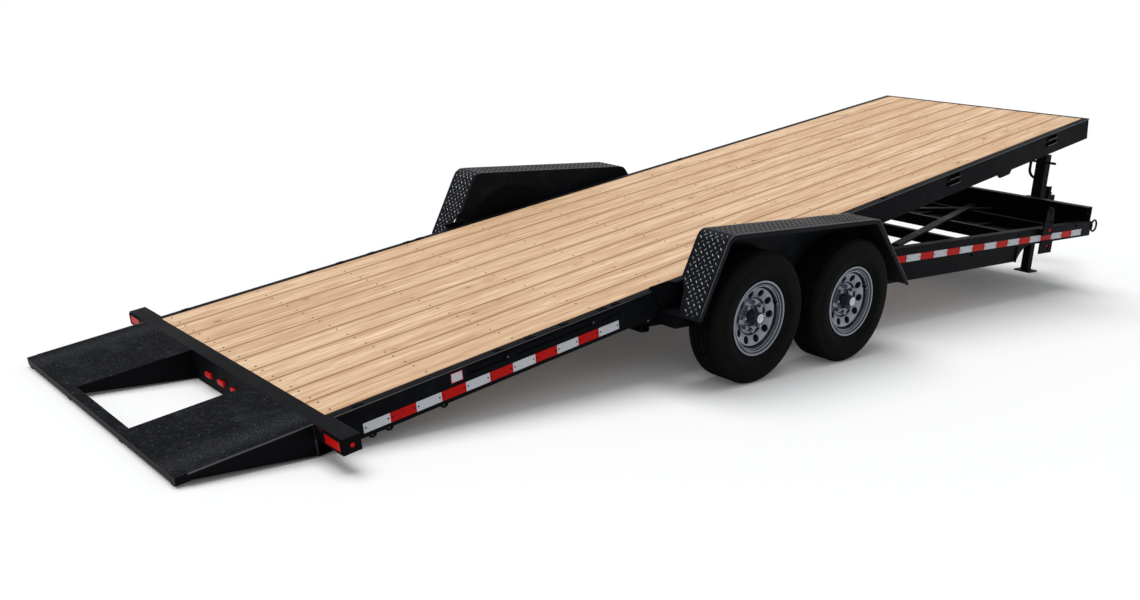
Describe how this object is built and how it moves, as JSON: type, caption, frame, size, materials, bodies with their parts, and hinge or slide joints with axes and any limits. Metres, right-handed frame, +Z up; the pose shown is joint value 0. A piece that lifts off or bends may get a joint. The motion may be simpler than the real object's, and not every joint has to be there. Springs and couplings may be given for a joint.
{
  "type": "tilt deck trailer",
  "caption": "Flat equipment trailer whose whole wooden deck tips back to the ground on a pivot between tandem axles, with knife edge approach, fenders, jack and coupler.",
  "frame": {"origin": "on the ground, in the middle of the trailer's whole length and width", "axes": "+X forward to the hitch, +Y to the trailer's left side, +Z up"},
  "size_m": [9.2418, 2.5476, 1.467],
  "materials": {
    "black_paint": "satin",
    "pine_boards": "matte",
    "tyre_rubber": "matte",
    "silver_rim": "satin",
    "red_lens": "gloss",
    "tread_plate": "gloss",
    "grip_coat": "matte",
    "plated_rod": "polished",
    "hub_paint": "satin"
  },
  "bodies": {
    "root": {"frame_rail_left": "black_paint", "frame_rail_right": "black_paint", "frame_crossmembers": "black_paint", "frame_braces": "black_paint", "front_pan": "black_paint", "rear_crossmember": "black_paint", "front_crossbeam": "black_paint", "pivot_crossmember": "black_paint", "tongue": "black_paint", "coupler": "black_paint", "jack_body": "black_paint", "jack_drop_leg": "black_paint", "axle_front": "black_paint", "axle_rear": "black_paint", "fender_left": "tread_plate", "fender_right": "tread_plate", "fender_brackets_left": "black_paint", "fender_brackets_right": "black_paint", "deck_latch_left": "black_paint", "deck_latch_right": "black_paint", "tie_rings": "black_paint", "cylinder_frame_clevis": "black_paint"},
    "deck": {"deck_boards": "pine_boards", "deck_rail_left": "black_paint", "deck_rail_right": "black_paint", "deck_crossmembers": "black_paint", "deck_front_beam": "black_paint", "deck_stringer_left": "black_paint", "deck_stringer_right": "black_paint", "deck_rear_beam": "black_paint", "tail_lamps": "red_lens", "id_lamps": "red_lens", "approach_tip_bar": "black_paint", "approach_ramp_left": "grip_coat", "approach_ramp_right": "grip_coat", "cylinder_deck_clevis": "black_paint"},
    "barrel": {"cylinder_barrel": "black_paint"},
    "rod": {"cylinder_rod": "plated_rod"},
    "wheel_front_left": {"tyre_front_left": "tyre_rubber", "rim_front_left": "silver_rim", "hub_front_left": "hub_paint"},
    "wheel_front_right": {"tyre_front_right": "tyre_rubber", "rim_front_right": "silver_rim", "hub_front_right": "hub_paint"},
    "wheel_rear_left": {"tyre_rear_left": "tyre_rubber", "rim_rear_left": "silver_rim", "hub_rear_left": "hub_paint"},
    "wheel_rear_right": {"tyre_rear_right": "tyre_rubber", "rim_rear_right": "silver_rim", "hub_rear_right": "hub_paint"}
  },
  "joints": [
    {"name": "deck_tilt", "type": "hinge", "parent": "root", "child": "deck", "pos_m": [-0.7393, 0, 0.555], "axis": [0, 1, 0], "range_deg": [0, 10.5]},
    {"name": "wheel_front_left_spin", "type": "hinge", "parent": "root", "child": "wheel_front_left", "pos_m": [-0.4048, 1.155, 0.391], "axis": [0, 1, 0], "continuous": true},
    {"name": "wheel_front_right_spin", "type": "hinge", "parent": "root", "child": "wheel_front_right", "pos_m": [-0.4048, -1.155, 0.391], "axis": [0, 1, 0], "continuous": true},
    {"name": "wheel_rear_left_spin", "type": "hinge", "parent": "root", "child": "wheel_rear_left", "pos_m": [-1.2938, 1.155, 0.391], "axis": [0, 1, 0], "continuous": true},
    {"name": "wheel_rear_right_spin", "type": "hinge", "parent": "root", "child": "wheel_rear_right", "pos_m": [-1.2938, -1.155, 0.391], "axis": [0, 1, 0], "continuous": true},
    {"name": "barrel_swing", "type": "hinge", "parent": "root", "child": "barrel", "pos_m": [-0.0893, -0.25, 0.5], "axis": [0, 1, 0], "range_deg": [0, 16.72]},
    {"name": "rod_slide", "type": "slide", "parent": "barrel", "child": "rod", "axis": [0.925, 0, 0.3801], "range_m": [-0.03857, 0]}
  ],
  "couplings": [
    {"joint": "barrel_swing", "follows": "deck_tilt", "ratio": 1.5925},
    {"joint": "rod_slide", "follows": "deck_tilt", "m_per_rad": -0.21038}
  ]
}
